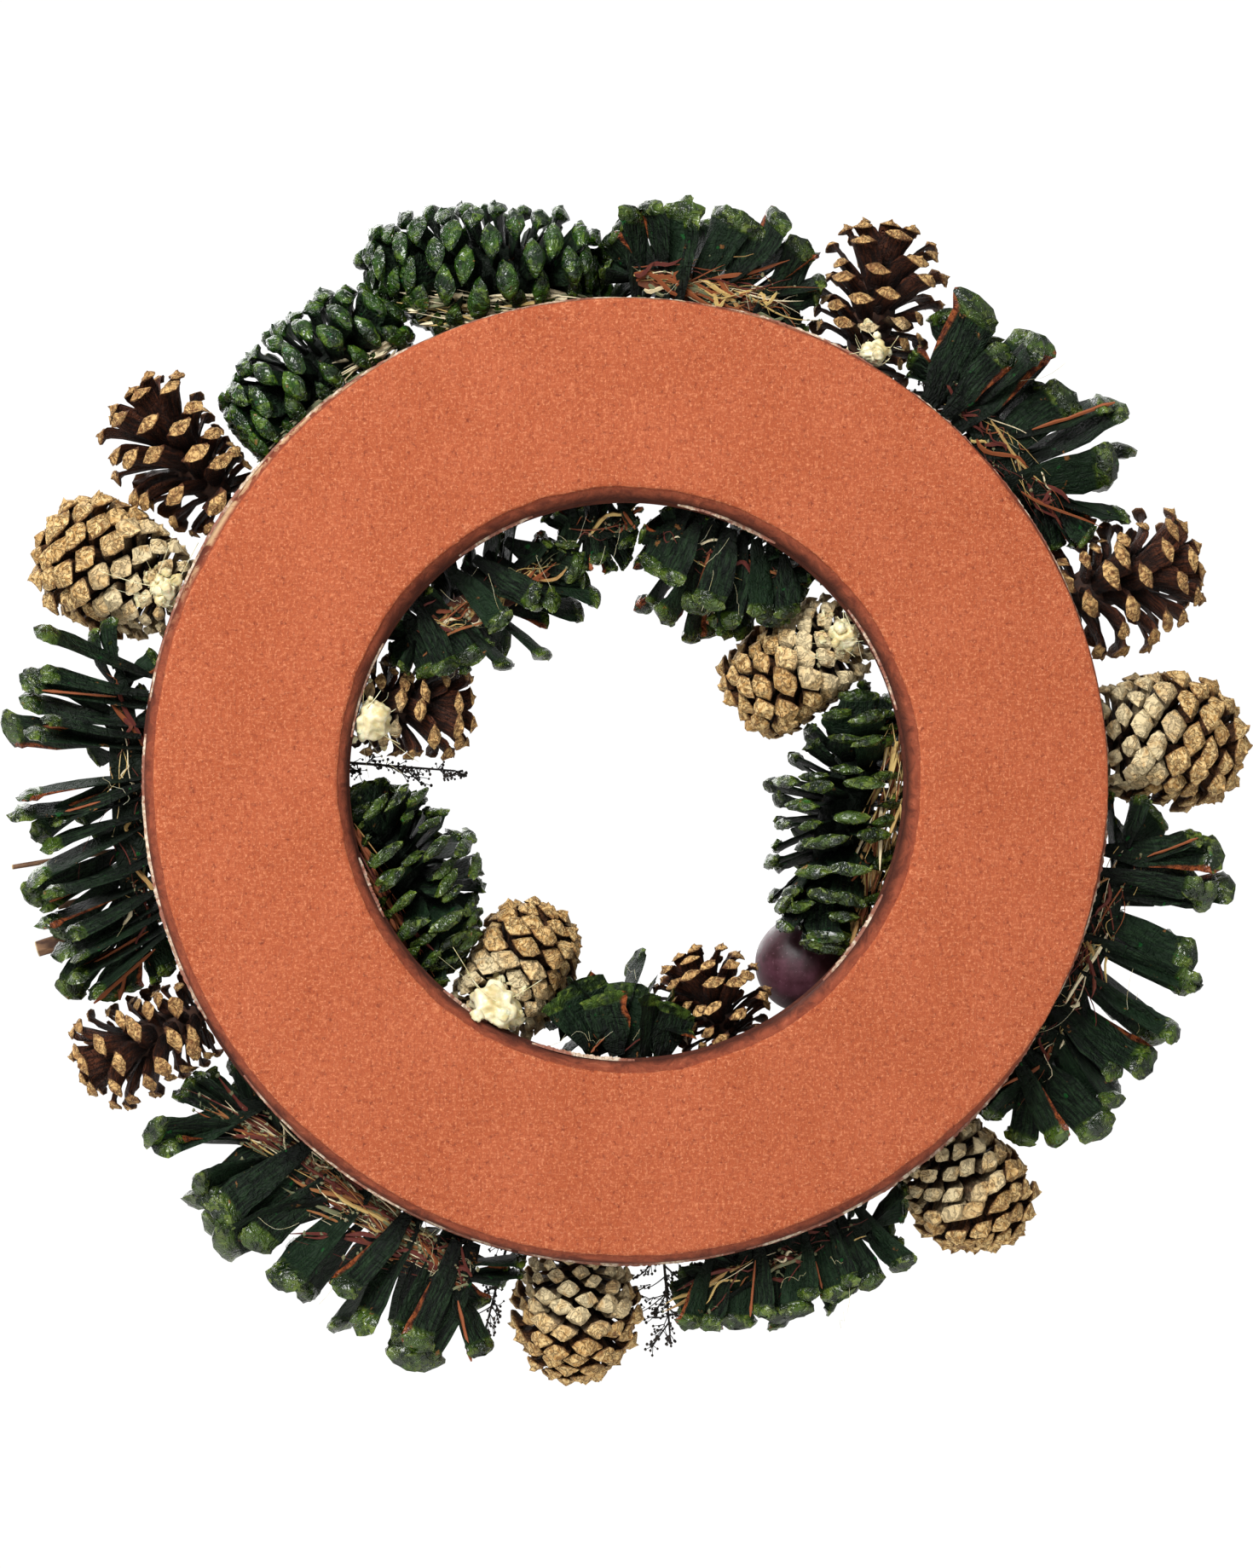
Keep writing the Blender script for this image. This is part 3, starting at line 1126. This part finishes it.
class Look:
    """A material under construction, with short ways to add its nodes."""

    def __init__(self, name):
        self.material = bpy.data.materials.new(name)
        self.material.use_nodes = True
        self.tree = self.material.node_tree
        self.shader = self.tree.nodes["Principled BSDF"]
        self.place = self.tree.nodes.new("ShaderNodeTexCoord").outputs["Object"]

    def link(self, value, socket):
        if isinstance(value, bpy.types.NodeSocket):
            self.tree.links.new(value, socket)
        else:
            socket.default_value = value

    def node(self, kind, output, inputs, **settings):
        """Add a node, set or link its inputs, and give one of its outputs."""
        made = self.tree.nodes.new("ShaderNode" + kind)
        for name, value in settings.items():
            setattr(made, name, value)
        for name, value in inputs.items():
            self.link(value, made.inputs[name])
        return made.outputs[output]

    def value(self, name, output="Fac"):
        return self.node("Attribute", output, {}, attribute_name=name)

    def stretch(self, x, y, z):
        return self.node("Mapping", "Vector", {"Scale": (x, y, z), "Vector": self.place})

    def noise(self, scale, detail=4.0, rough=0.6, warp=0.0, place=None):
        return self.node("TexNoise", "Fac", {
            "Scale": scale, "Detail": detail, "Roughness": rough, "Distortion": warp,
            "Vector": place or self.place})

    def band(self, value, low, high, to_low=0.0, to_high=1.0):
        return self.node("MapRange", "Result", {
            "From Min": low, "From Max": high, "To Min": to_low, "To Max": to_high,
            "Value": value}, interpolation_type="SMOOTHSTEP")

    def math(self, operation, first, second=0.0):
        return self.node("Math", 0, {0: first, 1: second}, operation=operation)

    def times(self, first, second):
        return self.math("MULTIPLY", first, second)

    def plus(self, first, second):
        return self.math("ADD", first, second)

    def wrinkles(self, scale, warp):
        """Distance from the winding lines where a noise crosses its middle."""
        return self.math("ABSOLUTE", self.math("SUBTRACT", self.noise(scale, 3.0, 0.6, warp), 0.5))

    def mix(self, share, first, second):
        return self.node("Mix", 2, {0: share, 6: linear(first), 7: linear(second)},
                         data_type="RGBA")

    def coats(self, base, *layers):
        """Coats of colour over a base, each with its value, the value's limits and its most."""
        for colour, value, low, high, *most in layers:
            base = self.mix(self.band(value, low, high, 0.0, *most), base, colour)
        return base

    def done(self, base, rough, height=None, distance=0.0, strength=1.0, **more):
        """Set the shader's inputs, bump it by the height and give the material."""
        for name, value in {"Base_Color": linear(base), "Roughness": rough, **more}.items():
            self.link(value, self.shader.inputs[name.replace("_", " ")])
        if height is not None:
            self.link(self.node("Bump", "Normal", {
                "Strength": strength, "Distance": distance, "Height": height}),
                self.shader.inputs["Normal"])
        return self.material


def paper_look():
    """Terracotta paper: orange-peel mottling, upright streaks and darker walls."""
    look = Look("paper")
    wall, deep, torn = look.value("tone"), look.value("along"), look.value("pale")
    patches = look.noise(45.0)
    specks = look.noise(1300.0, 5.0, 0.8)
    coarse = look.noise(560.0, 6.0, 0.8)
    streaks = look.noise(900.0, 3.0, 0.6, place=look.stretch(2.2, 1.0, 0.35))
    weave = look.noise(900.0, 3.0, 0.6, place=look.stretch(0.4, 1.0, 2.0))
    base = look.coats((170, 81, 44), ((178, 88, 52), patches, 0.35, 0.68),
                      ((226, 148, 106), specks, 0.52, 0.62, 0.75),
                      ((124, 50, 28), coarse, 0.47, 0.34, 0.9),
                      ((208, 124, 82), coarse, 0.54, 0.64, 0.7),
                      ((148, 66, 40), streaks, 0.52, 0.66, 0.45),
                      ((212, 130, 92), weave, 0.54, 0.68, 0.40),
                      ((110, 42, 28), wall, 0.30, 0.46, 0.6))
    folds = look.noise(130.0, 5.0, 0.7, 1.5)
    walls = look.coats((100, 44, 28), ((152, 76, 50), folds, 0.36, 0.62),
                       ((186, 104, 74), folds, 0.60, 0.66, 0.6))
    scraps = look.times(look.band(torn, 0.25, 0.6), look.band(folds, 0.44, 0.52))
    walls = look.mix(look.times(scraps, 0.9), walls, (214, 178, 136))
    walls = look.coats(walls, ((52, 22, 14), deep, 0.18, 0.60, 0.82))
    base = look.coats(base, (walls, wall, 0.50, 1.0, 0.95))
    grain = look.plus(look.times(specks, 0.5), coarse)
    return look.done(base, look.band(specks, 0.3, 0.7, 0.70, 0.88), grain, 0.0005,
                     Specular_IOR_Level=0.3)


def scale_look(name, dark, mid, tip_dark, tip_light, edge):
    """A woody cone scale: streaked blade, a paler ridged tip with a dark edge, and some resin."""
    look = Look(name)
    along, cap, tone, chalk = (look.value(key) for key in ("along", "cap", "tone", "pale"))
    grain = look.noise(900.0, 4.0, 0.65, 0.4)
    patches = look.noise(240.0, 3.0, 0.6)
    streaks = look.noise(1.6, 4.0, 0.65, place=look.value("streak", "Vector"))
    blade = look.coats(dark, (mid, streaks, 0.38, 0.70), ((14, 9, 8), along, 0.75, 0.15, 0.75))
    tip = look.coats(tip_dark, (tip_light, grain, 0.38, 0.62), (tip_dark, tone, 0.5, 1.0, 0.4),
                     (mid, along, 0.985, 1.0, 0.6), (mid, along, edge + 0.035, edge, 0.8),
                     (mid, patches, 0.58, 0.68, 0.55))
    wrinkles = look.wrinkles(330.0, 1.2)
    tip = look.mix(look.band(wrinkles, 0.0, 0.028, 0.75, 0.0), tip, mid)
    base = look.mix(cap, blade, tip)
    chalk = look.times(chalk, look.band(patches, 0.36, 0.54, 0.25, 1.0))
    base = look.mix(look.times(chalk, look.band(along, 0.3, 0.8)), base, (228, 208, 164))
    rough = look.band(grain, 0.3, 0.7, 0.58, 0.82)
    height = look.plus(look.plus(grain, patches), look.band(wrinkles, 0.0, 0.05))
    return look.done(base, rough, look.plus(height, streaks), 0.0005, Specular_IOR_Level=0.25)


def green_look(name, tip_dark, tip_light, rim_light, varnish, shine):
    """A scale dipped in dark green paint: glossy olive tips, flat blades, chips and dye spots."""
    look = Look(name)
    along, cap, tone, rim = (look.value(key) for key in ("along", "cap", "tone", "pale"))
    grain = look.noise(700.0, 4.0, 0.6, 0.5)
    patches = look.noise(190.0)
    streaks = look.noise(1.8, 4.0, 0.65, place=look.value("streak", "Vector"))
    wrinkles = look.wrinkles(260.0, 1.0)
    dents = look.noise(420.0, 1.0, 0.4, 0.8)
    blade = look.coats((7, 14, 9), ((36, 56, 34), streaks, 0.40, 0.72),
                       ((24, 46, 26), tone, 0.5, 1.0, 0.5), ((4, 5, 4), along, 0.5, 0.1, 0.8))
    tip = look.coats(tip_dark, (tip_light, patches, 0.42, 0.62),
                     (rim_light, dents, 0.58, 0.70, 0.55))
    tip = look.mix(look.band(wrinkles, 0.0, 0.025, 0.7, 0.0), tip, tip_dark)
    base = look.mix(look.times(cap, 0.95), blade, tip)
    edge = look.times(rim, look.band(grain, 0.40, 0.58))
    base = look.mix(look.times(edge, 0.8), base, rim_light)
    chips = look.times(look.band(patches, 0.665, 0.69), look.band(grain, 0.45, 0.55))
    base = look.mix(look.times(chips, 0.7), base, (140, 92, 50))
    spots = look.band(look.noise(300.0, 2.0, 0.5), 0.71, 0.74)
    base = look.mix(look.times(spots, 0.5), base, (20, 96, 38))
    rust = look.coats((70, 28, 15), ((138, 72, 36), grain, 0.38, 0.62))
    base = look.coats(base, (rust, rim, -0.30, -0.55))
    gloss = look.band(cap, 0.0, 1.0, 0.0, varnish)
    dull = look.band(grain, 0.60, 0.75, 0.0, 0.06)
    rough = look.plus(look.math("SUBTRACT", 0.55, gloss), dull)
    height = look.plus(dents, look.times(look.band(wrinkles, 0.0, 0.10), 0.5))
    ridges = look.times(streaks, look.band(cap, 0.0, 1.0, 1.0, 0.1))
    return look.done(base, rough, look.plus(height, ridges), 0.0006, Specular_IOR_Level=shine)


def grain_look(name, grain, dark, light, low, high, rough, distance, strength, **more):
    """Two colours and a bump that follow one grain of noise."""
    look = Look(name)
    height = look.noise(*grain)
    base = look.coats(dark, (light, height, low, high))
    return look.done(base, rough, height, distance, strength, **more)


def wood_look(name, dark, light):
    return grain_look(name, (380.0, 5.0, 0.65, 0.6), dark, light, 0.35, 0.65, 0.85, 0.0005, 0.9)


def torn_paper_look():
    """Pale fibres of torn paper with terracotta stains."""
    look = Look("torn_paper")
    fibres = look.noise(900.0, 4.0, 0.7)
    base = look.coats((176, 146, 120), ((222, 206, 184), fibres, 0.38, 0.62),
                      ((132, 66, 48), look.noise(170.0, 3.0, 0.6), 0.42, 0.54, 0.85))
    return look.done(base, 0.9, fibres, 0.0003, 0.8)


def torn_look():
    """Split wood: straw, orange-brown and dark red strands, cream fibres and grey-green moss."""
    look = Look("torn_wood")
    tone = look.value("tone")
    base = look.coats((138, 72, 34), ((206, 176, 108), tone, 0.40, 0.60),
                      ((92, 34, 26), tone, 0.24, 0.20), ((236, 222, 184), tone, 0.80, 0.84),
                      ((112, 116, 84), tone, 0.92, 0.94),
                      ((120, 66, 34), look.noise(700.0, 3.0, 0.6), 0.5, 0.7, 0.5))
    return look.done(base, 0.75)


def ball_look():
    """Dark red skin under a dusty bloom."""
    look = Look("ball")
    bloom = look.noise(95.0, 5.0, 0.65, 0.3)
    fine = look.noise(900.0, 3.0, 0.6)
    base = look.coats((50, 18, 26), ((92, 50, 64), bloom, 0.38, 0.66),
                      ((130, 92, 104), fine, 0.60, 0.72, 0.5))
    return look.done(base, look.band(bloom, 0.35, 0.7, 0.42, 0.68), fine, 0.0001, 0.5)


def twig_look():
    """Grey-brown bark with long streaks, and a pale cut end."""
    look = Look("twig")
    streaks = look.noise(420.0, 4.0, 0.65, place=look.stretch(0.25, 1.0, 1.0))
    base = look.coats((66, 40, 26), ((128, 94, 66), streaks, 0.34, 0.66))
    wood = look.coats((190, 162, 118), ((222, 202, 162), look.noise(900.0, 3.0), 0.35, 0.65))
    base = look.coats(base, (wood, look.value("cap"), 0.3, 0.7))
    return look.done(base, 0.82, streaks, 0.0004, 0.9)


def show(soup, name, slot, *materials):
    """Build a piece, set it on the frame's one body and let it stand for its node."""
    piece = soup.build(name + "_detail", materials)
    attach(piece, "root")
    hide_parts(name)


def make_pieces():
    """Dress every node of the part in its fine piece and its materials."""
    cores = all_cores()
    core_wood = wood_look("core_wood", (34, 20, 14), (72, 42, 26))
    green_wood = wood_look("green_core", (20, 24, 16), (52, 50, 28))
    split_wood = wood_look("split_wood", (40, 16, 12), (110, 60, 34))
    torn = torn_look()
    glue = grain_look("glue", (240.0,), (204, 186, 130), (240, 232, 196), 0.35, 0.65, 0.36,
                      0.0004, 0.5, Subsurface_Weight=0.15, Subsurface_Scale=0.002)
    brown = scale_look("brown_scale", (40, 22, 16), (104, 56, 34), (150, 108, 64),
                       (222, 182, 120), 0.878)
    tan = scale_look("tan_scale", (52, 32, 20), (112, 72, 42), (176, 132, 74), (236, 204, 144),
                     0.815)
    olive = ((18, 32, 12), (62, 84, 26), (116, 134, 52))
    leafy = ((12, 32, 10), (44, 76, 18), (100, 128, 36))
    green = green_look("green_scale", *olive, 0.02, 0.14)
    green_tip = green_look("green_tip", *olive, 0.34, 0.50)
    pad = green_look("green_pad", *leafy, 0.02, 0.14)
    pad_tip = green_look("green_pad_tip", *leafy, 0.42, 0.55)
    dresses = {
        "brown": ("brown_cone", brown, core_wood, brown),
        "tan": ("tan_cone", tan, core_wood, tan),
        "green": ("green_cone", green, split_wood, green_tip),
        "pad": ("green_cone", pad, green_wood, pad_tip),
    }
    for cone in CONES:
        slot, scale, inside, tip = dresses[KINDS[cone.kind].look]
        show(make_cone(cone, cores[cone.name]), cone.name, slot, scale, inside, torn, glue, tip)
    show(make_ring(), "ring", "paper", paper_look(), torn_paper_look())
    sprig = grain_look("sprig", (900.0, 3.0), (18, 16, 15), (58, 46, 36), 0.4, 0.7, 0.8, 0.0002,
                       0.7)
    makers = {"glue": (make_glue, glue), "ball": (make_ball, ball_look()),
              "sprig": (make_sprig, sprig), "twig": (make_twig, twig_look())}
    for slot, (make, look) in makers.items():
        for name in (*LUMPS, *STICKS):
            if name.startswith(slot):
                show(make(cores[name]), name, slot, look)


def add_sheet(name, corners, material):
    """A flat piece of the stage, which the object doesn't hold."""
    mesh = bpy.data.meshes.new(name)
    mesh.from_pydata(corners, [], [tuple(range(len(corners)))])
    mesh.materials.append(material)
    add_object(name, mesh)


def aim_at_ring(holder, way, distance=1.0):
    """Set a lamp or camera at a distance from the ring's centre, looking at it."""
    holder.location = RING_CENTRE + way * distance
    holder.rotation_euler = (-way).to_track_quat("-Z", "Y").to_euler()


def make_stage():
    """Pale floor well below the hung wreath, a glowing white backdrop, soft lamps and sky."""
    rim = [(FLOOR_RADIUS * math.cos(turn), FLOOR_RADIUS * math.sin(turn),
            RING_CENTRE.z - FLOOR_DROP) for turn in np.arange(FLOOR_SIDES) * math.tau / FLOOR_SIDES]
    add_sheet("floor", rim, Look("floor").done((236, 235, 232), 0.9))
    glow = Look("backdrop").done((0, 0, 0), 1.0, Specular_IOR_Level=0.0,
                                 Emission_Color=(1.0, 1.0, 1.0, 1.0), Emission_Strength=1.05)
    add_sheet("backdrop", [(x, BACKDROP_Y, z) for x, z in BACKDROP_CORNERS], glow)
    world = bpy.data.worlds.new("studio")
    world.use_nodes = True
    sky = world.node_tree.nodes["Background"].inputs
    sky["Color"].default_value = (1.0, 1.0, 1.0, 1.0)
    sky["Strength"].default_value = WORLD_LIGHT
    bpy.context.scene.world = world
    for name, (spot, size, power) in LAMPS.items():
        lamp = bpy.data.lights.new(name, "AREA")
        lamp.size = size
        lamp.energy = power
        aim_at_ring(add_object(name, lamp), Vector(spot))


def make_camera():
    """Looks at the back of the wreath, a little from its left and below, as the photo does."""
    yaw, pitch = math.radians(CAMERA_YAW), math.radians(CAMERA_PITCH)
    way = Vector((math.sin(yaw) * math.cos(pitch), math.cos(yaw) * math.cos(pitch),
                  math.sin(pitch)))
    camera = bpy.data.cameras.new("camera")
    camera.lens = CAMERA_LENS
    camera.clip_start = 0.05
    camera.shift_x, camera.shift_y = CAMERA_SHIFT
    holder = add_object("camera", camera)
    aim_at_ring(holder, way, CAMERA_DISTANCE)
    bpy.context.scene.camera = holder


make_pieces()
make_stage()
make_camera()
bpy.context.scene.view_settings.view_transform = "Standard"
